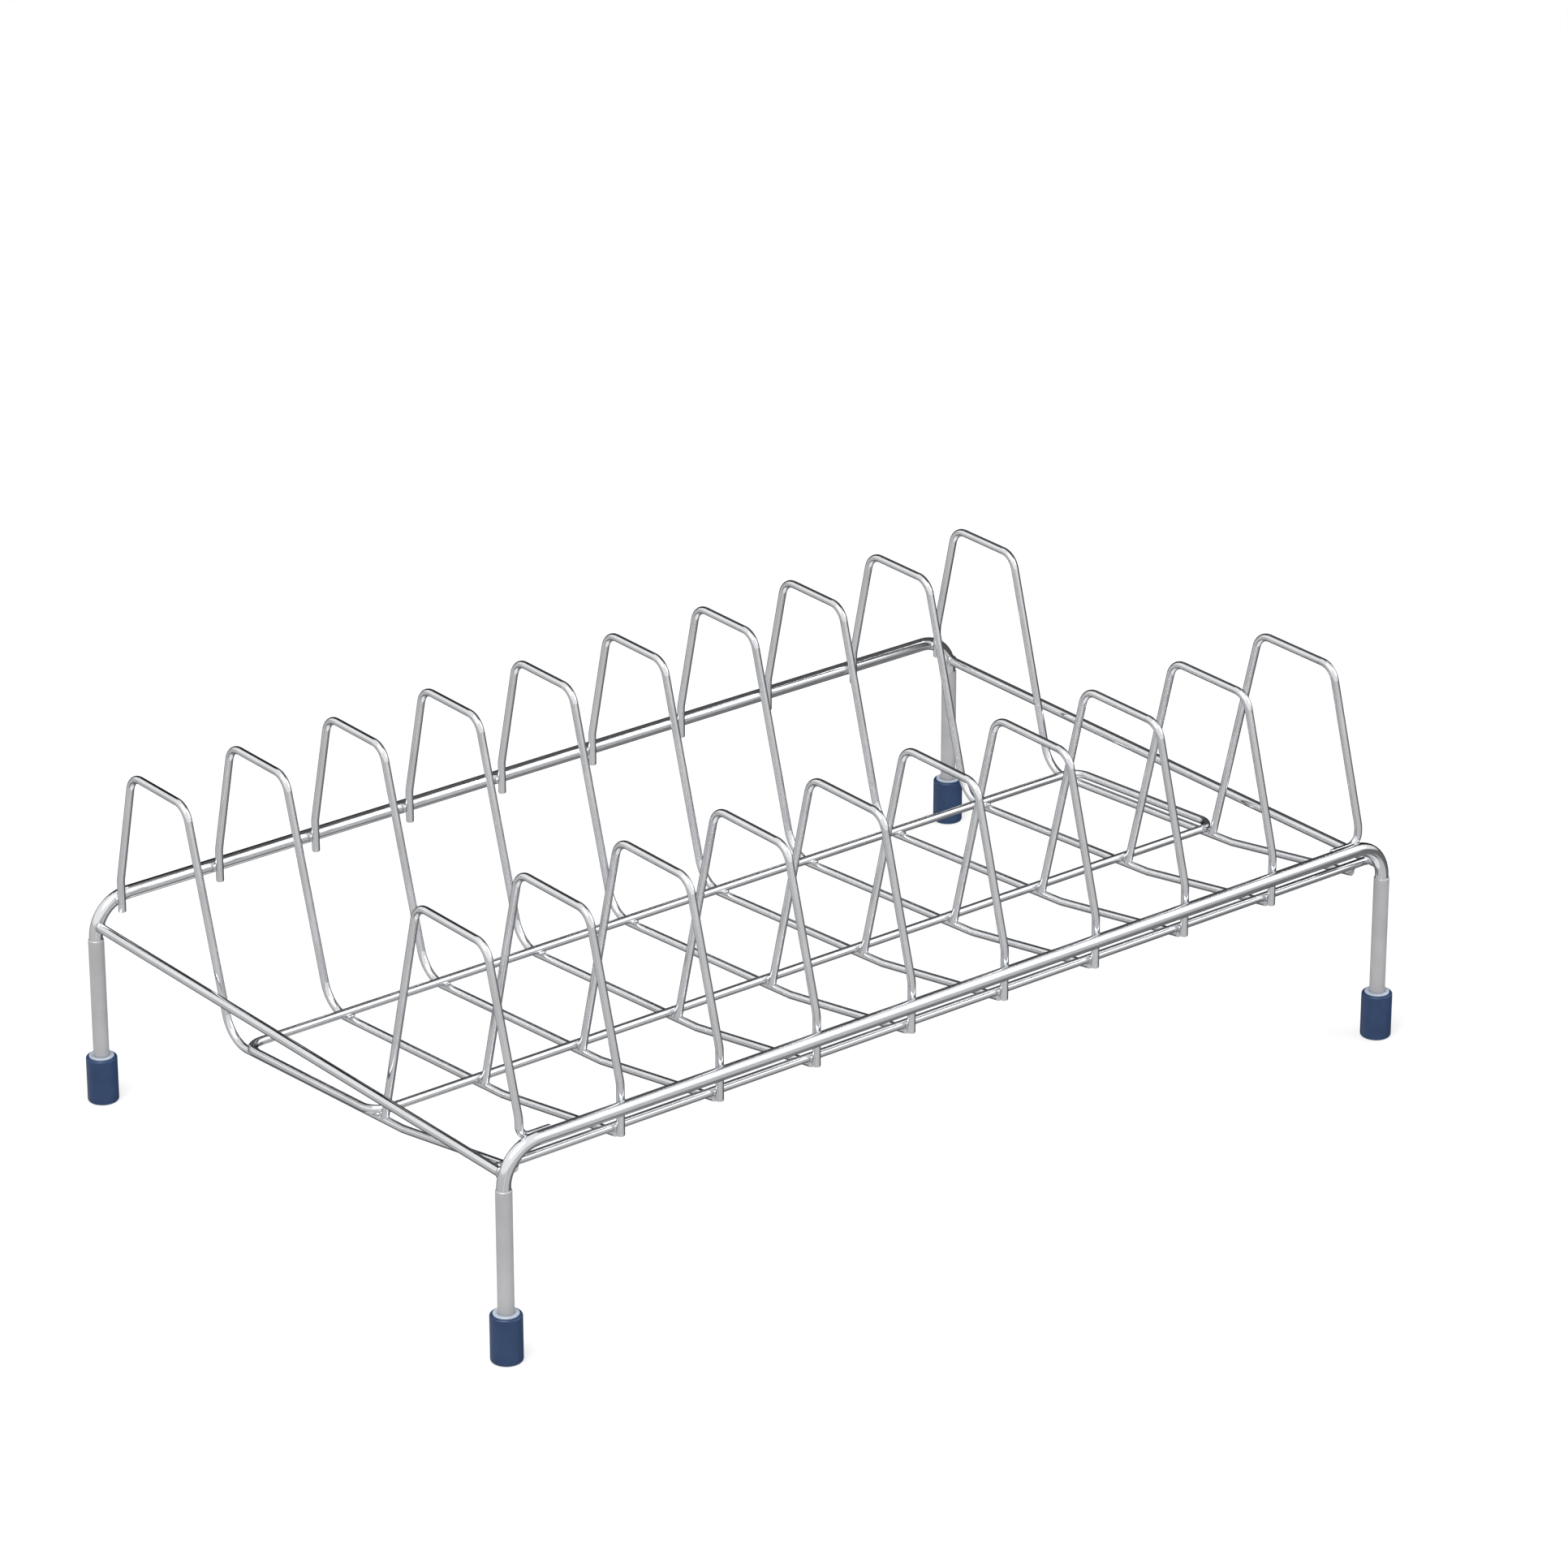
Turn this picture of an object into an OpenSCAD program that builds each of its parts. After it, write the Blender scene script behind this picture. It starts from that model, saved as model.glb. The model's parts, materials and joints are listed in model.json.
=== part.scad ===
// Chromed wire dish rack: two bent side rails on tube legs with plastic feet,
// and a row of wire hoops that hold plates on edge.
// Origin on the floor under the middle, X along the rack, Y to the far side, Z up.

/* [Overall size] */
// Length over the feet
overall_length = 395; // [360:1:430]
// Width over the feet
overall_width = 250; // [235:1:280]
// Height from the floor to the top of the near hoops
overall_height = 140; // [130:1:160]

/* [Feet] */
// Diameter of a foot
foot_diameter = 11; // [9:0.5:14]
// Height of a foot
foot_height = 17; // [12:0.5:22]
// Thickness of the floor of a foot, under the leg
foot_floor = 3; // [2:0.5:5]
// Rounding of the rim at both ends of a foot
foot_rounding = 0.8; // [0.4:0.1:1.2]
// Difference between the bore of a foot and the leg
foot_clearance = 0.1; // [0.05:0.05:0.3]

/* [Legs and side rails] */
// Diameter of a leg tube
leg_diameter = 5.6; // [5.2:0.1:7]
// Diameter of a side rail
rail_diameter = 4.8; // [4.4:0.1:5.2]
// Diameter of a side rail's thinner end, inside a leg
rail_end_diameter = 4.2; // [3.6:0.1:4.4]
// Height of the middle of a side rail
rail_height = 76; // [70:0.5:84]
// Radius of the bend from a side rail into a leg, on the middle of the rod
rail_bend = 13.5; // [11:0.5:16]
// Length of a side rail between its bend and the top of a leg tube
leg_gap = 0.5; // [0.3:0.1:2]
// Depth of the rail's end inside a leg
rail_seat = 20; // [14:0.5:26]
// Difference between the bore of a leg and the rail's end
rail_clearance = 0.1; // [0.05:0.05:0.3]
// Size of the slope around the top of a leg
leg_shoulder = 0.3; // [0.1:0.05:0.5]

/* [End bars and lower rail] */
// Diameter of an end bar
end_bar_diameter = 3.4; // [2.8:0.1:4]
// Height of a side rail over the end bars and the lower rail, middle to middle
end_bar_drop = 9.2; // [8:0.1:10.5]
// Diameter of the lower rail
lower_rail_diameter = 3; // [2.6:0.1:3.4]

/* [Cross wires and tray] */
// Number of hoops along each side
hoop_count = 10; // [5:1:10]
// Distance of the outermost hoops from the middle of the legs
hoop_margin = 9; // [7:0.5:16]
// Diameter of a cross wire
cross_diameter = 2.8; // [2.4:0.1:3.2]
// Height of the middle of a cross wire at a far hoop's lower bend
tray_height = 46.5; // [43:0.5:50]
// Rise of a cross wire from there to the near side of the tray
tray_rise = 7; // [3:0.5:8]
// Distance from a far hoop's lower bend to the far rod of the tray
tray_inset = 11.5; // [11:0.5:16]
// Diameter of the tray ring
tray_diameter = 3; // [2.6:0.1:3.4]
// Radius of the corners of the tray ring
tray_corner = 7; // [5:0.5:12]
// Distance from the outermost cross wires to the ends of the tray ring
tray_overhang = 2.6; // [1:0.1:6]
// How deep a welded wire sinks into the one that it crosses
weld_bite = 0.3; // [0.2:0.05:0.5]

/* [Far hoops] */
// Height of the middle of the wire along the top of a far hoop
far_top = 126; // [114:0.5:140]
// Distance of a far hoop's outer corner from the middle of the rack
far_outer_corner = 106; // [98:0.5:112]
// Distance of a far hoop's inner corner from the middle of the rack
far_inner_corner = 73; // [66:0.5:80]
// Distance of a far hoop's lower bend from the middle of the rack
far_lower_corner = 50; // [46:0.5:56]
// Length of a far hoop's outer leg below the middle of the side rail
far_leg_tail = 4.6; // [3.6:0.1:6]

/* [Near hoops] */
// Diameter of a near hoop
hoop_diameter = 2.8; // [2.4:0.1:3.2]
// Distance of a near hoop's outer corner from the middle of the rack
near_outer_corner = 100; // [92:0.5:108]
// Distance of a near hoop's inner corner from the middle of the rack
near_inner_corner = 62; // [54:0.5:70]
// Length of a near hoop's outer leg below the lower rail
near_leg_tail = 0.8; // [0.5:0.1:3]
// Length of the turned foot of an outermost near hoop, along the side rail
turned_foot = 12; // [9:0.5:18]

/* [Bends] */
// Radius of the bends at the top of a hoop, on the middle of the wire
top_bend = 7; // [5:0.5:9]
// Radius of the lower bend of a far hoop, on the middle of the wire
lower_bend = 12; // [8:0.5:14]
// Radius of the slight bends of a hoop and a cross wire
slight_bend = 10; // [6:0.5:14]
// Height of a hoop's outer leg above the side rail before it leans inward
upright = 7; // [6:0.5:10]

/* [Hidden] */
$fn = 48;

// A bend is this much thicker than the straights, which run this far into it.
bend_swell = 0.02;
bend_lap = 0.2;

chrome = [0.82, 0.83, 0.85];
satin_steel = [0.66, 0.67, 0.68];
foot_blue = [0.13, 0.22, 0.38];

side_names = ["near", "far"];
end_names = ["left", "right"];
hoop_numbers = [for (k = [1 : hoop_count]) k];

leg_x = (overall_length - foot_diameter) / 2;
leg_y = (overall_width - foot_diameter) / 2;
leg_top = rail_height - rail_bend - leg_gap;
end_bar_z = rail_height - end_bar_drop;
near_top = overall_height - (hoop_diameter + bend_swell) / 2;

// The hoops are welded to the inner face of a side rail, and the lower rail to
// the inner face of the near hoops.
hoop_foot_y = leg_y - (rail_diameter + hoop_diameter) / 2 + weld_bite;
cross_foot_y = leg_y - (rail_diameter + cross_diameter) / 2 + weld_bite;
lower_rail_y = hoop_foot_y - (hoop_diameter + lower_rail_diameter) / 2 + weld_bite;

// Middles of the near hoops' inner feet, beside the near rod of the tray.
tray_rod_offset = far_lower_corner - tray_inset;
inner_foot_y = tray_rod_offset + (tray_diameter + hoop_diameter) / 2 - weld_bite;

// A cross wire's run: over the tray, then up under the lower rail.
run_far = [far_lower_corner, tray_height];
run_near = [-inner_foot_y - slight_bend, tray_height + tray_rise];
run_end = [-lower_rail_y, end_bar_z - (lower_rail_diameter + cross_diameter) / 2 + weld_bite];
run_slope = tray_rise / (run_far[0] - run_near[0]);
tray_tilt = atan(run_slope);
tray_rod_gap = (cross_diameter + tray_diameter) / 2 - weld_bite;
tray_z = tray_height + run_slope * run_far[0] + tray_rod_gap / cos(tray_tilt);

hoop_pitch = 2 * (leg_x - hoop_margin) / (hoop_count - 1);
function hoop_x(k) = hoop_margin - leg_x + (k - 1) * hoop_pitch;
function side_y(side) = side == "near" ? -1 : 1;
function end_x(end) = end == "left" ? -1 : 1;

// Direction, length and turn between points of a route in its plane.
function along(a, b) = (b - a) / norm(b - a);
function heading(v) = atan2(v[1], v[0]);
function turn(a, b, c) = let (t = heading(c - b) - heading(b - a)) t > 180 ? t - 360 : t < -180 ? t + 360 : t;
function setback(a, b, c, r) = r * tan(abs(turn(a, b, c)) / 2);
// The point at a given height on the line through a and b, and the height of that line at a given place.
function toward(a, b, level) = a + (b - a) * (level - a[1]) / (b[1] - a[1]);
function toward_across(a, b, place) = a[1] + (b[1] - a[1]) * (place - a[0]) / (b[0] - a[0]);

module straight(a, b, diameter) {
    translate([a[0], a[1], 0])
        rotate([0, 0, heading(b - a)])
            rotate([0, 90, 0])
                cylinder(h = norm(b - a), d = diameter);
}

module bend(a, b, c, radius, diameter) {
    angle = turn(a, b, c);
    start = b - along(a, b) * setback(a, b, c, radius);
    side = sign(angle);
    centre = start + side * radius * [-along(a, b)[1], along(a, b)[0]];
    from = heading(b - a) - side * 90;
    translate([centre[0], centre[1], 0])
        rotate([0, 0, angle > 0 ? from : from + angle])
            rotate_extrude(angle = abs(angle))
                translate([radius, 0])
                    circle(d = diameter + bend_swell);
}

// A rod along a flat route, with a round bend of its own radius at each inner point.
module bent_rod(route, radii, diameter) {
    last = len(route) - 1;
    inner = [for (i = [1 : last - 1]) setback(route[i - 1], route[i], route[i + 1], radii[i - 1]) - bend_lap];
    cut = concat([0], inner, [0]);
    for (i = [0 : last - 1]) {
        ahead = along(route[i], route[i + 1]);
        straight(route[i] + ahead * cut[i], route[i + 1] - ahead * cut[i + 1], diameter);
    }
    for (i = [1 : last - 1])
        bend(route[i - 1], route[i], route[i + 1], radii[i - 1], diameter);
}

// Stand a flat route up lengthwise, or across the rack.
module lengthwise(y) {
    translate([0, y, 0])
        rotate([90, 0, 0])
            children();
}

module across(x) {
    translate([x, 0, 0])
        rotate([90, 0, 90])
            children();
}

rail_route = [
    [-leg_x, leg_top],
    [-leg_x, rail_height],
    [leg_x, rail_height],
    [leg_x, leg_top],
];

module rail_rod(side) {
    lengthwise(side_y(side) * leg_y)
        bent_rod(rail_route, [rail_bend, rail_bend], rail_diameter);
}

module rail_end(side, end, diameter, top) {
    translate([end_x(end) * leg_x, side_y(side) * leg_y, leg_top - rail_seat])
        cylinder(h = top - leg_top + rail_seat, d = diameter);
}

// Where the middle of a side rail lies in its bend, inward of the leg.
function bend_offset(level) =
    let (rise = level - (rail_height - rail_bend))
    rise <= 0 ? 0 : rail_bend - sqrt(rail_bend * rail_bend - rise * rise);

end_bar_x = leg_x - bend_offset(end_bar_z);

module end_rod(end) {
    across(end_x(end) * end_bar_x)
        straight([-leg_y, end_bar_z], [leg_y, end_bar_z], end_bar_diameter);
}

module lower_rod() {
    lengthwise(-lower_rail_y)
        straight([-end_bar_x, end_bar_z], [end_bar_x, end_bar_z], lower_rail_diameter);
}

module side_rail(side) {
    color(chrome)
        union() {
            rail_rod(side);
            for (end = end_names)
                rail_end(side, end, rail_end_diameter, leg_top + leg_gap / 2);
        }
}

module lower_rail() {
    color(chrome)
        difference() {
            lower_rod();
            for (end = end_names)
                end_rod(end);
        }
}

module end_bar(end) {
    color(chrome)
        difference() {
            end_rod(end);
            for (side = side_names)
                rail_rod(side);
        }
}

module leg(side, end) {
    color(satin_steel)
        difference() {
            translate([end_x(end) * leg_x, side_y(side) * leg_y, foot_floor])
                leg_shape(leg_top - foot_floor);
            rail_end(side, end, rail_end_diameter + rail_clearance, leg_top + 1);
        }
}

module leg_shape(height) {
    cylinder(h = height - leg_shoulder, d = leg_diameter);
    translate([0, 0, height - leg_shoulder])
        cylinder(h = leg_shoulder, d1 = leg_diameter, d2 = leg_diameter - 2 * leg_shoulder);
}

module foot(side, end) {
    bore = leg_diameter + foot_clearance;
    r = foot_diameter / 2;
    color(foot_blue)
        translate([end_x(end) * leg_x, side_y(side) * leg_y, 0])
            rotate_extrude()
                difference() {
                    union() {
                        translate([0, foot_rounding])
                            square([r, foot_height - 2 * foot_rounding]);
                        square([r - foot_rounding, foot_height]);
                        for (z = [foot_rounding, foot_height - foot_rounding])
                            translate([r - foot_rounding, z])
                                circle(r = foot_rounding);
                    }
                    translate([0, foot_floor])
                        square([bore / 2, foot_height]);
                }
}

// The tray ring lies on the cross wires.
ring_left = hoop_x(1) - tray_overhang;
ring_right = hoop_x(hoop_count) + tray_overhang;
ring_corners = [
    [ring_left, -tray_rod_offset],
    [ring_right, -tray_rod_offset],
    [ring_right, tray_rod_offset],
    [ring_left, tray_rod_offset],
];

module ring_rod() {
    translate([0, 0, tray_z])
        rotate([-tray_tilt, 0, 0])
            flat_ring();
}

module flat_ring() {
    for (i = [0 : 3]) {
        a = ring_corners[i];
        b = ring_corners[(i + 1) % 4];
        c = ring_corners[(i + 2) % 4];
        inset = along(a, b) * (tray_corner - bend_lap);
        straight(a + inset, b - inset, tray_diameter);
        bend(a, b, c, tray_corner, tray_diameter);
    }
}

// A cross wire: far hoop, then the run.
cross_route = [
    [cross_foot_y, rail_height - far_leg_tail],
    [cross_foot_y, rail_height + upright],
    [far_outer_corner, far_top],
    [far_inner_corner, far_top],
    run_far,
    run_near,
    run_end,
];
cross_bends = [slight_bend, top_bend, top_bend, lower_bend, slight_bend];

module run_rod(k) {
    across(hoop_x(k)) {
        straight(run_far, run_near, cross_diameter);
        straight(run_near, run_end, cross_diameter);
    }
}

module tray_ring() {
    color(chrome)
        difference() {
            ring_rod();
            for (k = hoop_numbers)
                run_rod(k);
        }
}

module cross_wire(k) {
    color(chrome)
        difference() {
            across(hoop_x(k))
                bent_rod(cross_route, cross_bends, cross_diameter);
            rail_rod("far");
            lower_rod();
        }
}

// A near hoop: inner leg beside the tray ring and on the cross wire, outer leg
// between the side rail and the lower rail. The outermost ones stand where the
// side rail bends down, so their outer legs turn and lie along the rail.
turned_bend = upright - 2.5;
turn_joint_z = rail_height + turned_bend + 0.5;
near_inner = [-near_inner_corner, near_top];
function hoop_route(foot_z) = [
    [-hoop_foot_y, foot_z],
    [-hoop_foot_y, rail_height + upright],
    [-near_outer_corner, near_top],
    near_inner,
    toward(near_inner, [-inner_foot_y, tray_z + run_slope * tray_rod_offset],
        toward_across(run_far, run_near, -inner_foot_y)),
];

function outermost(k) = k == 1 || k == hoop_count;
function turned_route(x) = [
    [x, turn_joint_z],
    [x, rail_height],
    [x - sign(x) * turned_foot, rail_height],
];

module near_hoop_rod(k) {
    foot_z = outermost(k) ? turn_joint_z : end_bar_z - lower_rail_diameter / 2 - near_leg_tail;
    across(hoop_x(k))
        bent_rod(hoop_route(foot_z), [slight_bend, top_bend, top_bend], hoop_diameter);
    if (outermost(k)) {
        lengthwise(-hoop_foot_y)
            bent_rod(turned_route(hoop_x(k)), [turned_bend], hoop_diameter);
        translate([hoop_x(k), -hoop_foot_y, turn_joint_z - bend_lap])
            cylinder(h = 2 * bend_lap, d = hoop_diameter + bend_swell);
    }
}

module near_hoop(k) {
    color(chrome)
        difference() {
            near_hoop_rod(k);
            rail_rod("near");
            lower_rod();
            ring_rod();
            run_rod(k);
        }
}

for (s = side_names) {
    side_rail(s);
    for (e = end_names) {
        leg(s, e);
        foot(s, e);
    }
}
for (e = end_names)
    end_bar(e);
lower_rail();
tray_ring();
for (k = hoop_numbers) {
    cross_wire(k);
    near_hoop(k);
}
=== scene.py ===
import json
import math
import random

import bmesh
import bpy
from mathutils import Matrix, Vector


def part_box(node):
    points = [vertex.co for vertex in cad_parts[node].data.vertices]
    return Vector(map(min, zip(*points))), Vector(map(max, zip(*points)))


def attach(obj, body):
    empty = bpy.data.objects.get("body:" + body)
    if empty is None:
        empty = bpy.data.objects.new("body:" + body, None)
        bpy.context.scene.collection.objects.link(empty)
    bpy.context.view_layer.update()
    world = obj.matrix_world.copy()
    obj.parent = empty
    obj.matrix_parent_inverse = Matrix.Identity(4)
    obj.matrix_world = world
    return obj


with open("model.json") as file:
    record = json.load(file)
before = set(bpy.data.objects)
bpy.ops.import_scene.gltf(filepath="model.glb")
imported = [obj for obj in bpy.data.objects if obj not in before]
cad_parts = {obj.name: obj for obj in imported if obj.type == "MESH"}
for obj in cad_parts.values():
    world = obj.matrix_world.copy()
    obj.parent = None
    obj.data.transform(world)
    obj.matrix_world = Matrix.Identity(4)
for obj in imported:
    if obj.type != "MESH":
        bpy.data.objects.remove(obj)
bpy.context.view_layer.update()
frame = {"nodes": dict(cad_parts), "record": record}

scene = bpy.context.scene
scene.view_settings.view_transform = "Standard"

ends = {"left": -1, "right": 1}
sides = {"near": -1, "far": 1}
hoopCount = sum(name.startswith("near_hoop_") for name in frame["nodes"])


# camera: the photograph's own view, in metres and radians
cameraView = {
    "place": (-1.2682, -1.6208, 1.0236),
    "turn": 0.6705,        # from +Y towards +X
    "dip": 0.4181,         # below level
    "focalPixels": 8000,
    "photoPixels": 1932,
    "sensor": 36,
    "farthest": 50,
}


def addCamera(view):
    camera = bpy.data.cameras.new("photoCamera")
    camera.sensor_width = view["sensor"]
    camera.lens = view["focalPixels"] / view["photoPixels"] * view["sensor"]
    camera.clip_end = view["farthest"]
    holder = bpy.data.objects.new("photoCamera", camera)
    holder.location = view["place"]
    holder.rotation_euler = (math.pi / 2 - view["dip"], 0, -view["turn"])
    scene.collection.objects.link(holder)
    scene.camera = holder


addCamera(cameraView)
print("camera placed")


# materials
def newMaterial(name):
    material = bpy.data.materials.new(name)
    material.use_nodes = True
    nodes = material.node_tree.nodes
    return material, nodes, material.node_tree.links, nodes["Principled BSDF"]


noiseSpan = (0.3, 0.7)     # where nearly all of a noise's values lie


def addNoise(nodes, links, scale, detail):
    place = nodes.new("ShaderNodeTexCoord")
    noise = nodes.new("ShaderNodeTexNoise")
    noise.inputs["Scale"].default_value = scale
    noise.inputs["Detail"].default_value = detail
    links.new(place.outputs["Object"], noise.inputs["Vector"])
    return noise


def addRange(nodes, links, source, low, high):
    spread = nodes.new("ShaderNodeMapRange")
    spread.inputs["From Min"].default_value = noiseSpan[0]
    spread.inputs["From Max"].default_value = noiseSpan[1]
    spread.inputs["To Min"].default_value = low
    spread.inputs["To Max"].default_value = high
    links.new(source, spread.inputs["Value"])
    return spread.outputs["Result"]


def addBump(nodes, links, source, shader, strength, distance):
    bump = nodes.new("ShaderNodeBump")
    bump.inputs["Strength"].default_value = strength
    bump.inputs["Distance"].default_value = distance
    links.new(source, bump.inputs["Height"])
    links.new(bump.outputs["Normal"], shader.inputs["Normal"])


def addTones(nodes, links, source, dark, light, shader):
    ramp = nodes.new("ShaderNodeValToRGB")
    for stop, place, tone in zip(ramp.color_ramp.elements, noiseSpan, (dark, light)):
        stop.position = place
        stop.color = (*tone, 1)
    links.new(source, ramp.inputs["Fac"])
    links.new(ramp.outputs["Color"], shader.inputs["Base Color"])


plating = {
    "dark": (0.72, 0.73, 0.75),
    "light": (0.81, 0.82, 0.84),
    "cloudScale": 55,
    "cloudDetail": 3,
    "smooth": 0.10,        # least and greatest roughness
    "rough": 0.17,
    "drawScale": 900,      # marks of the wire's drawing
    "drawDetail": 2,
    "drawStrength": 0.15,
    "drawDepth": 0.00002,
}
weldPlating = dict(plating, dark=(0.50, 0.51, 0.53), light=(0.66, 0.67, 0.69), cloudScale=600,
                   smooth=0.18, rough=0.32, drawScale=1500, drawDepth=0.00005)


def chromePlating(name, values, edge):
    material, nodes, links, shader = newMaterial(name)
    shader.inputs["Metallic"].default_value = 1
    shader.inputs["Specular Tint"].default_value = (*edge, 1)
    cloud = addNoise(nodes, links, values["cloudScale"], values["cloudDetail"])
    addTones(nodes, links, cloud.outputs["Fac"], values["dark"], values["light"], shader)
    links.new(addRange(nodes, links, cloud.outputs["Fac"], values["smooth"], values["rough"]),
              shader.inputs["Roughness"])
    draw = addNoise(nodes, links, values["drawScale"], values["drawDetail"])
    addBump(nodes, links, draw.outputs["Fac"], shader, values["drawStrength"], values["drawDepth"])
    return material


legCoat = {
    "dark": (0.39, 0.39, 0.40),
    "light": (0.45, 0.45, 0.46),
    "metallic": 0.35,
    "cloudScale": 90,
    "cloudDetail": 4,
    "smooth": 0.42,
    "rough": 0.52,
    "grainScale": 2600,
    "grainDetail": 2,
    "grainStrength": 0.2,
    "grainDepth": 0.00003,
}
footPlastic = {
    "dark": (0.005, 0.026, 0.085),
    "light": (0.009, 0.038, 0.110),
    "metallic": 0,
    "cloudScale": 120,
    "cloudDetail": 4,
    "smooth": 0.34,
    "rough": 0.46,
    "grainScale": 1800,
    "grainDetail": 3,
    "grainStrength": 0.25,
    "grainDepth": 0.00006,
}
# pale tones of the collar: the lip is a real part, its pale colour is a painted highlight of the
# foot's top rim where the leg enters
collarHighlightPlastic = dict(footPlastic, dark=(0.36, 0.41, 0.48), light=(0.45, 0.50, 0.58),
                     cloudScale=150, grainScale=2000, grainDepth=0.00004)


def grainyCoat(name, values):
    material, nodes, links, shader = newMaterial(name)
    shader.inputs["Metallic"].default_value = values["metallic"]
    cloud = addNoise(nodes, links, values["cloudScale"], values["cloudDetail"])
    addTones(nodes, links, cloud.outputs["Fac"], values["dark"], values["light"], shader)
    links.new(addRange(nodes, links, cloud.outputs["Fac"], values["smooth"], values["rough"]),
              shader.inputs["Roughness"])
    grain = addNoise(nodes, links, values["grainScale"], values["grainDetail"])
    addBump(nodes, links, grain.outputs["Fac"], shader,
            values["grainStrength"], values["grainDepth"])
    return material


rodEdge = (0.35, 0.36, 0.38)       # tint of the chrome at glancing angles
wireEdge = (0.30, 0.31, 0.33)
rodChrome = chromePlating("rodChrome", plating, rodEdge)
wireChrome = chromePlating("wireChrome", plating, wireEdge)
weldChrome = chromePlating("weldChrome", weldPlating, wireEdge)
satinSteel = grainyCoat("satinSteel", legCoat)
bluePlastic = grainyCoat("bluePlastic", footPlastic)
# collar material: its pale colour is a painted highlight of the foot's rim
paintedHighlightPlastic = grainyCoat("paintedHighlightPlastic", collarHighlightPlastic)

finishes = {
    "chrome_rod": rodChrome,
    "chrome_wire": wireChrome,
    "satin_leg": satinSteel,
    "blue_foot": bluePlastic,
}


def dressNodes():
    for part in frame["record"]["subparts"]:
        node = frame["nodes"][part["node"]]
        node.data.materials.clear()
        node.data.materials.append(finishes[part["material_slot"]])


dressNodes()
print("CAD nodes dressed")


def addPiece(name, mesh, material):
    piece = bpy.data.objects.new(name, mesh)
    scene.collection.objects.link(piece)
    mesh.materials.append(material)
    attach(piece, "root")


# welds and cut ends
wires = {                  # as in the CAD model; first the radius of each wire
    "rail": 0.0024,
    "bar": 0.0017,
    "lower": 0.0015,
    "tray": 0.0015,
    "hoop": 0.0014,
    "bite": 0.0003,        # depth of a weld
    "bendDrop": 0.0008,    # of the side rail, which bends down at the outermost hoops
    "farTail": 0.0046,     # of a cross wire, below the middle of the far side rail
    "nearTail": 0.0008,    # of a near hoop, below the lower rail
}
welds = {                  # half sizes along X, Y and Z
    "sideRail": (0.0021, 0.0010, 0.0016),
    "turnedFoot": (0.0026, 0.0010, 0.0014),
    "lowerRail": (0.0020, 0.0009, 0.0013),
    "runEnd": (0.0017, 0.0013, 0.0010),
    "tray": (0.0020, 0.0019, 0.0009),
    "innerFoot": (0.0019, 0.0011, 0.0015),
    "endBar": (0.0021, 0.0011, 0.0021),
    "lowerRailEnd": (0.0010, 0.0018, 0.0018),
}
weldPlaces = {
    "turnedFootIn": 0.010,     # from the outermost hoops towards the middle
    "turnedFootDown": 0.0002,
    "runEndOut": 0.0003,
    "ringCornerIn": 0.0016,    # the tray ring curves in at the outermost hoops
    "endBarOut": 0.0001,
}
beadShape = {
    "seed": 11,
    "unevenness": 0.14,
    "tilt": 0.2,
    "subdivisions": 2,
}
tipShape = {
    "bulge": 0.0006,           # how far a cut end stands out
    "share": 0.985,            # of the wire's radius
    "subdivisions": 3,
}


def middle(node):
    low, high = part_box(node)
    return (Vector(low) + Vector(high)) / 2


def beadMesh(name, beads, values):
    chance = random.Random(values["seed"])
    mound = bmesh.new()
    for place, size in beads:
        uneven = [1 + values["unevenness"] * chance.uniform(-1, 1) for _ in size]
        turned = Matrix.Rotation(chance.uniform(-values["tilt"], values["tilt"]), 4, "Y")
        stretch = Matrix.Diagonal((*(s * u for s, u in zip(size, uneven)), 1))
        bmesh.ops.create_icosphere(mound, subdivisions=values["subdivisions"], radius=1,
                                   matrix=Matrix.Translation(place) @ turned @ stretch)
    return finishMesh(name, mound)


def tipMesh(name, tips, values):
    cap = bmesh.new()
    radius = wires["hoop"] * values["share"]
    stretch = Matrix.Diagonal((radius, radius, values["bulge"], 1))
    for place, direction in tips:
        aim = Vector(direction).to_track_quat("Z", "Y").to_matrix().to_4x4()
        bmesh.ops.create_icosphere(cap, subdivisions=values["subdivisions"], radius=1,
                                   matrix=Matrix.Translation(place) @ aim @ stretch)
    return finishMesh(name, cap)


def finishMesh(name, shape):
    for face in shape.faces:
        face.smooth = True
    mesh = bpy.data.meshes.new(name)
    shape.to_mesh(mesh)
    shape.free()
    return mesh


def addBeads(name, beads):
    addPiece(name, beadMesh(name, beads, beadShape), weldChrome)


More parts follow.
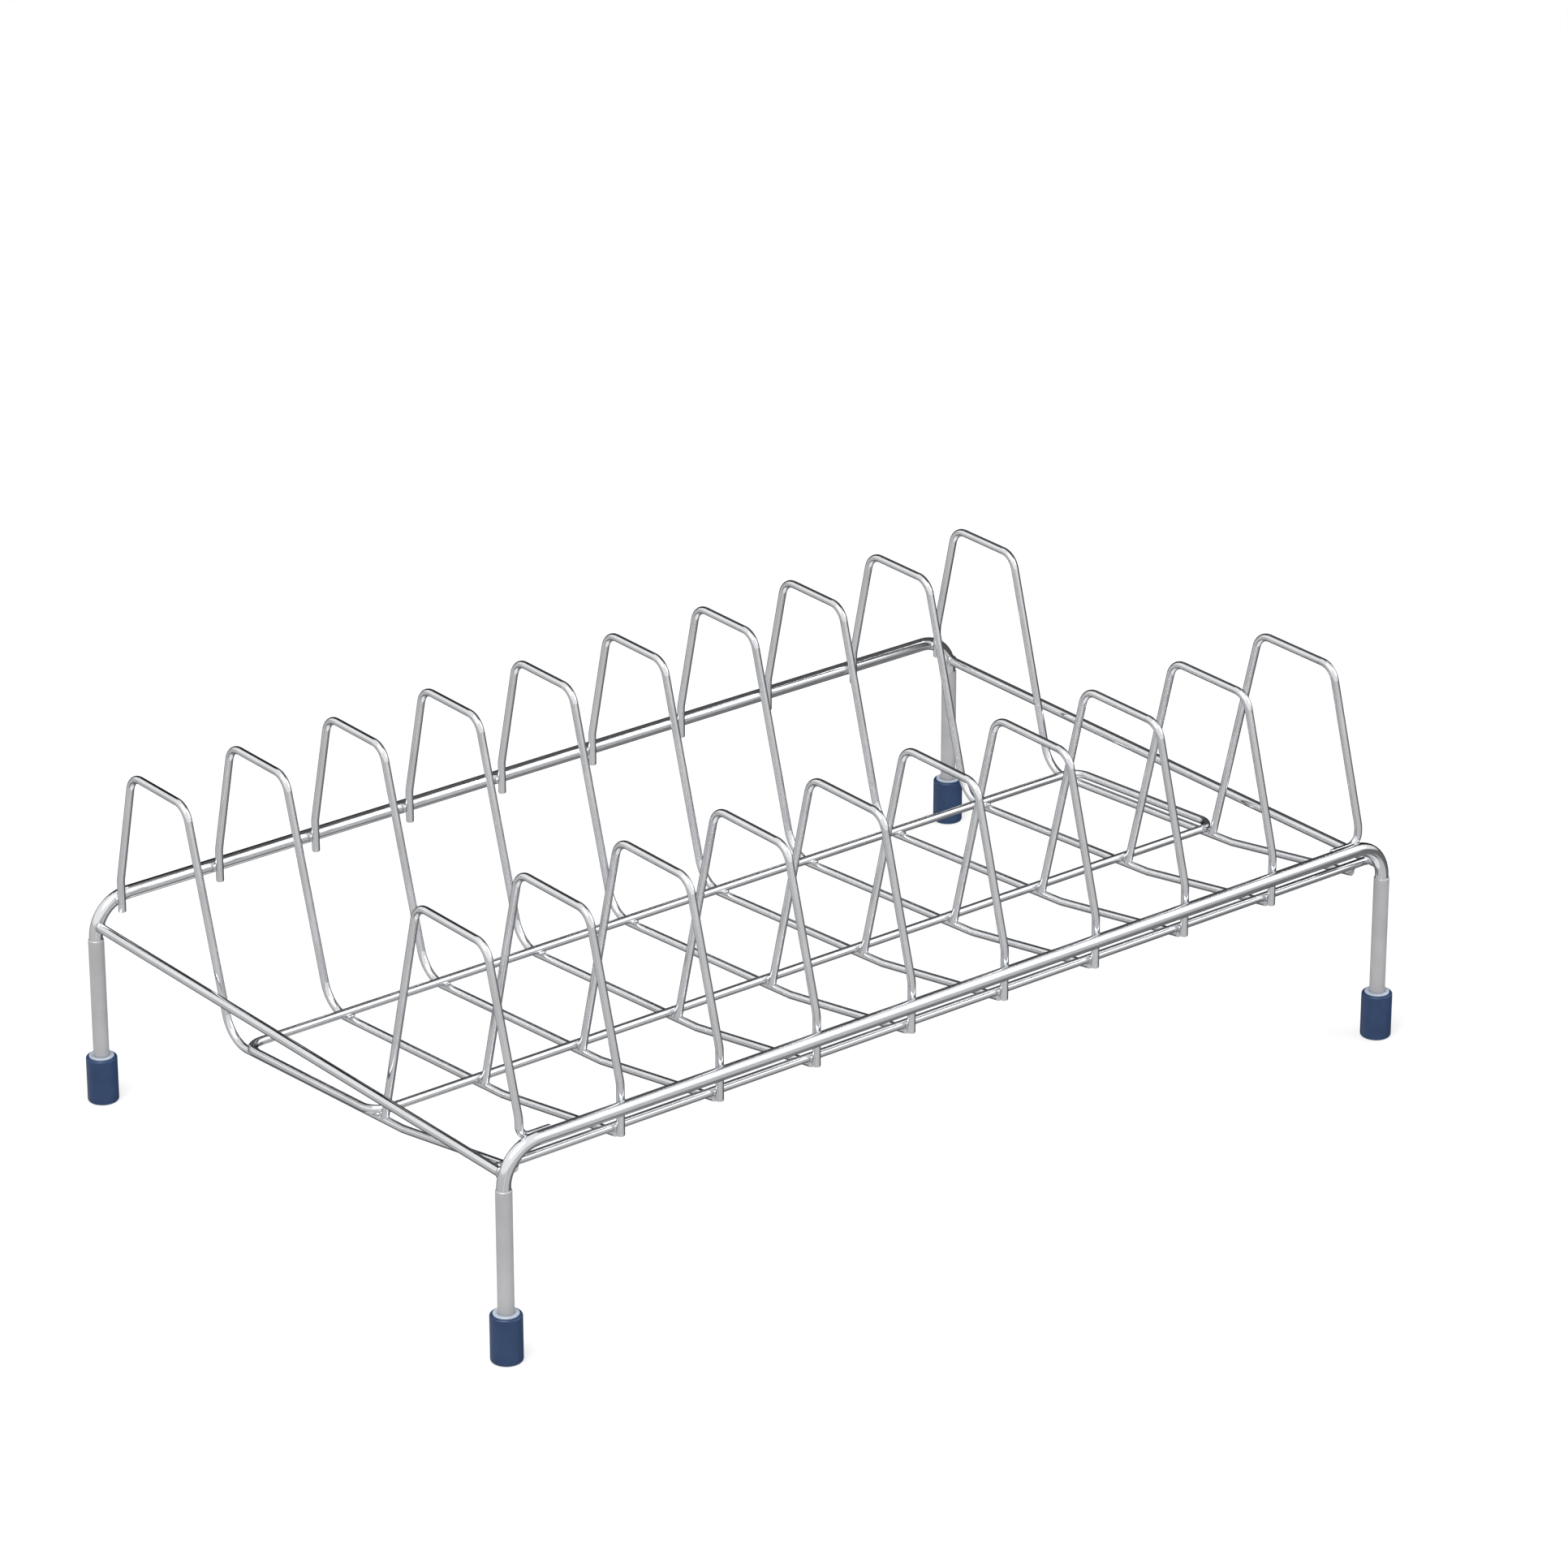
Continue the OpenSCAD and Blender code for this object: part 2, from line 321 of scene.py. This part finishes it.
def addWelds(places):
    crossings = [middle("cross_wire_%d" % k).x for k in range(1, hoopCount + 1)]
    outermost = (crossings[0], crossings[-1])
    inner = crossings[1:-1]
    nearRail, farRail = middle("near_side_rail"), middle("far_side_rail")
    lower = middle("lower_rail")
    bar = middle("left_end_bar")
    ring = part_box("tray_ring")
    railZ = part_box("near_side_rail")[1][2] - wires["rail"]
    railTouch = wires["rail"] - wires["bite"] / 2
    trayFar = (ring[1][1] - wires["tray"], ring[0][2] + wires["tray"])
    trayNear = (ring[0][1] + wires["tray"], ring[1][2] - wires["tray"])
    under = wires["tray"] - wires["bite"] / 2

    onRails = [((x, nearRail.y + railTouch, railZ), welds["sideRail"]) for x in inner]
    for x in crossings:
        level = railZ - wires["bendDrop"] if x in outermost else railZ
        onRails.append(((x, farRail.y - railTouch, level), welds["sideRail"]))
    for x in (outermost[0] + places["turnedFootIn"], outermost[1] - places["turnedFootIn"]):
        level = railZ - places["turnedFootDown"]
        onRails.append(((x, nearRail.y + railTouch, level), welds["turnedFoot"]))
    addBeads("sideRailWelds", onRails)

    lowerTouch = lower.y - wires["lower"] + wires["bite"] / 2
    lowerUnder = (lower.y + places["runEndOut"], lower.z - wires["lower"])
    onLower = [((x, lowerTouch, lower.z), welds["lowerRail"]) for x in inner]
    onLower += [((x, *lowerUnder), welds["runEnd"]) for x in crossings]
    addBeads("lowerRailWelds", onLower)

    onTray = []
    for x in crossings:
        inset = 0 if x in inner else places["ringCornerIn"]
        onTray.append(((x, trayFar[0] - inset, trayFar[1] - under), welds["tray"]))
        onTray.append(((x, trayNear[0] + inset, trayNear[1] - under), welds["tray"]))
        if not inset:
            onTray.append(((x, trayNear[0] - under, trayNear[1]), welds["innerFoot"]))
    addBeads("trayWelds", onTray)

    onBars = []
    for end in ends.values():
        barX = end * abs(bar.x)
        for side in sides.values():
            barEnd = side * (abs(nearRail.y) - wires["rail"] + places["endBarOut"])
            onBars.append(((barX, barEnd, bar.z), welds["endBar"]))
        onBars.append(((barX - end * wires["bar"], lower.y, lower.z), welds["lowerRailEnd"]))
    addBeads("endBarWelds", onBars)


def addTips():
    crossings = [middle("cross_wire_%d" % k).x for k in range(1, hoopCount + 1)]
    lower = middle("lower_rail")
    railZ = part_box("near_side_rail")[1][2] - wires["rail"]
    legY = middle("near_side_rail").y + wires["rail"] + wires["hoop"] - wires["bite"]
    farFoot = railZ - wires["farTail"]
    nearFoot = lower.z - wires["lower"] - wires["nearTail"]

    tips = [((x, -legY, farFoot), (0, 0, -1)) for x in crossings]
    tips += [((x, legY, nearFoot), (0, 0, -1)) for x in crossings[1:-1]]
    for node, end in (("near_hoop_1", 1), ("near_hoop_%d" % hoopCount, -1)):
        low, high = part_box(node)
        tips.append(((high[0] if end > 0 else low[0], legY, railZ), (end, 0, 0)))
    addPiece("wireTips", tipMesh("wireTips", tips, tipShape), wireChrome)


addWelds(weldPlaces)
addTips()
print("welds and cut ends added")


# pale lip of the sleeve between a leg and its foot; the lip is real, its pale colour is a painted
# highlight of the foot's rim
collar = {
    "legRadius": 0.00283,
    "outerRadius": 0.0044,
    "rise": 0.0005,
    "sink": 0.0003,
    "lip": 0.00025,        # radius of the rounded edge
    "innerShare": 0.3,     # of the lip, cut from the edge beside the leg
    "lipSteps": 5,
    "steps": 48,
}


def addCollars(values):
    inner, outer, lip = values["legRadius"], values["outerRadius"], values["lip"]
    for side, y in sides.items():
        for end, x in ends.items():
            foot = "%s_%s_foot" % (side, end)
            low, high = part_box(foot)
            place = middle(foot)
            top = high[2] + values["rise"]
            bottom = high[2] - values["sink"]
            profile = [(inner, bottom), (outer, bottom), (outer, top - lip)]
            for step in range(1, values["lipSteps"] + 1):
                around = math.radians(90 * step / values["lipSteps"])
                profile.append((outer - lip + lip * math.cos(around),
                                top - lip + lip * math.sin(around)))
            cut = lip * values["innerShare"]
            profile += [(inner + lip, top), (inner + cut, top - cut), (inner, top - lip)]
            mesh = latheMesh(foot + "_collar", profile, (place.x, place.y), values["steps"])
            addPiece(foot + "_collar", mesh, paintedHighlightPlastic)


def latheMesh(name, profile, centre, steps):
    shape = bmesh.new()
    rings = []
    for step in range(steps):
        around = 2 * math.pi * step / steps
        across, along = math.cos(around), math.sin(around)
        rings.append([shape.verts.new((centre[0] + r * across, centre[1] + r * along, z))
                      for r, z in profile])
    count = len(profile)
    for step in range(steps):
        here, there = rings[step], rings[(step + 1) % steps]
        for row in range(count):
            after = (row + 1) % count
            shape.faces.new((here[row], there[row], there[after], here[after]))
    bmesh.ops.recalc_face_normals(shape, faces=shape.faces)
    return finishMesh(name, shape)


addCollars(collar)
print("foot collars added")


# studio: floor, white surroundings and dark cards that only reflections see
studio = {
    "floorSize": 16,
    "floorColour": (0.93, 0.93, 0.93),
    "floorRoughness": 0.9,
    "floorGloss": 0.1,
    "floorGlow": 0.56,       # share of plain white that the camera sees in the floor
    "roomLevel": 0.76,       # light of the room on the object
    "wall": {                # upright card past the right end, that the far side mirrors
        "tone": 0.10,
        "x": 0.27,
        "y": (-0.02, 0.60),
        "z": (0.02, 0.90),
    },
    "cardSteps": 24,
    "cards": {               # arc: degrees round from the camera's side; height: bottom and top
        "lowCard": {"tone": 0.60, "radius": 2.4, "height": (-3.9, 0.34), "arc": (2, 358)},
        "underCard": {"tone": 0.24, "radius": 2.2, "height": (-3.6, -1.5), "arc": (66, 294)},
        "rightCard": {"tone": 0.18, "radius": 2.1, "height": (-1.6, 0.15), "arc": (190, 280)},
        "backCard": {"tone": 0.02, "radius": 2.0, "height": (-1.2, 2.6), "arc": (138, 226)},
    },
}


def seenRays(nodes, links):
    path = nodes.new("ShaderNodeLightPath")
    cameraOrGloss = nodes.new("ShaderNodeMath")
    cameraOrGloss.operation = "MAXIMUM"
    orGlass = nodes.new("ShaderNodeMath")
    orGlass.operation = "MAXIMUM"
    links.new(path.outputs["Is Camera Ray"], cameraOrGloss.inputs[0])
    links.new(path.outputs["Is Glossy Ray"], cameraOrGloss.inputs[1])
    links.new(cameraOrGloss.outputs[0], orGlass.inputs[0])
    links.new(path.outputs["Is Transmission Ray"], orGlass.inputs[1])
    return orGlass.outputs[0]


def addFloor(values):
    material, nodes, links, shader = newMaterial("paleFloor")
    shader.inputs["Roughness"].default_value = values["floorRoughness"]
    shader.inputs["Specular IOR Level"].default_value = values["floorGloss"]
    shader.inputs["Base Color"].default_value = (*values["floorColour"], 1)
    share = nodes.new("ShaderNodeMath")
    share.operation = "MULTIPLY"
    share.inputs[1].default_value = values["floorGlow"]
    links.new(seenRays(nodes, links), share.inputs[0])
    white = nodes.new("ShaderNodeEmission")
    mix = nodes.new("ShaderNodeMixShader")
    links.new(share.outputs[0], mix.inputs["Fac"])
    links.new(shader.outputs[0], mix.inputs[1])
    links.new(white.outputs[0], mix.inputs[2])
    links.new(mix.outputs[0], nodes["Material Output"].inputs["Surface"])
    mesh = bpy.data.meshes.new("floor")
    half = values["floorSize"] / 2
    corners = [(-half, -half, 0), (half, -half, 0), (half, half, 0), (-half, half, 0)]
    mesh.from_pydata(corners, [], [(0, 1, 2, 3)])
    mesh.materials.append(material)
    floor = bpy.data.objects.new("floor", mesh)
    floor.visible_glossy = False
    scene.collection.objects.link(floor)


def arcCorners(values, steps, turn):
    start, finish = values["arc"]
    bottom, top = values["height"]
    corners = []
    for step in range(steps + 1):
        around = turn + math.radians(start + (finish - start) * step / steps)
        x = -math.sin(around) * values["radius"]
        y = -math.cos(around) * values["radius"]
        corners += [(x, y, bottom), (x, y, top)]
    return corners


def wallCorners(values):
    return [(values["x"], y, z) for y in values["y"] for z in values["z"]]


def addCard(name, tone, corners):
    faces = [(k, k + 1, k + 3, k + 2) for k in range(0, len(corners) - 2, 2)]
    mesh = bpy.data.meshes.new(name)
    mesh.from_pydata(corners, [], faces)
    material = bpy.data.materials.new(name)
    material.use_nodes = True
    nodes = material.node_tree.nodes
    nodes.clear()
    glow = nodes.new("ShaderNodeEmission")
    glow.inputs["Color"].default_value = (tone, tone, tone, 1)
    output = nodes.new("ShaderNodeOutputMaterial")
    material.node_tree.links.new(glow.outputs["Emission"], output.inputs["Surface"])
    mesh.materials.append(material)
    card = bpy.data.objects.new(name, mesh)
    card.visible_camera = False
    card.visible_diffuse = False
    card.visible_transmission = False
    card.visible_shadow = False
    scene.collection.objects.link(card)


def addRoom(values):
    world = bpy.data.worlds.new("room")
    scene.world = world
    world.use_nodes = True
    nodes = world.node_tree.nodes
    links = world.node_tree.links
    nodes.clear()
    fill = nodes.new("ShaderNodeBackground")
    fill.inputs["Color"].default_value = (1, 1, 1, 1)
    fill.inputs["Strength"].default_value = values["roomLevel"]
    white = nodes.new("ShaderNodeBackground")
    white.inputs["Color"].default_value = (1, 1, 1, 1)
    white.inputs["Strength"].default_value = 1
    mix = nodes.new("ShaderNodeMixShader")
    output = nodes.new("ShaderNodeOutputWorld")
    links.new(seenRays(nodes, links), mix.inputs["Fac"])
    links.new(fill.outputs[0], mix.inputs[1])
    links.new(white.outputs[0], mix.inputs[2])
    links.new(mix.outputs[0], output.inputs["Surface"])


lampTarget = (0, 0, 0.05)
lamps = {
    "key": {"place": (-1.1, -0.5, 2.2), "size": 1.6, "power": 42},
    "fill": {"place": (1.6, -1.4, 1.6), "size": 1.8, "power": 14},
}


def addLamp(name, values):
    lamp = bpy.data.lights.new(name, "AREA")
    lamp.shape = "DISK"
    lamp.size = values["size"]
    lamp.energy = values["power"]
    holder = bpy.data.objects.new(name, lamp)
    holder.location = values["place"]
    towards = Vector(lampTarget) - Vector(values["place"])
    holder.rotation_euler = towards.to_track_quat("-Z", "Y").to_euler()
    scene.collection.objects.link(holder)


addFloor(studio)
for cardName, cardValues in studio["cards"].items():
    cardCorners = arcCorners(cardValues, studio["cardSteps"], cameraView["turn"])
    addCard(cardName, cardValues["tone"], cardCorners)
addCard("wall", studio["wall"]["tone"], wallCorners(studio["wall"]))
addRoom(studio)
for lampName, lampValues in lamps.items():
    addLamp(lampName, lampValues)
print("studio ready")
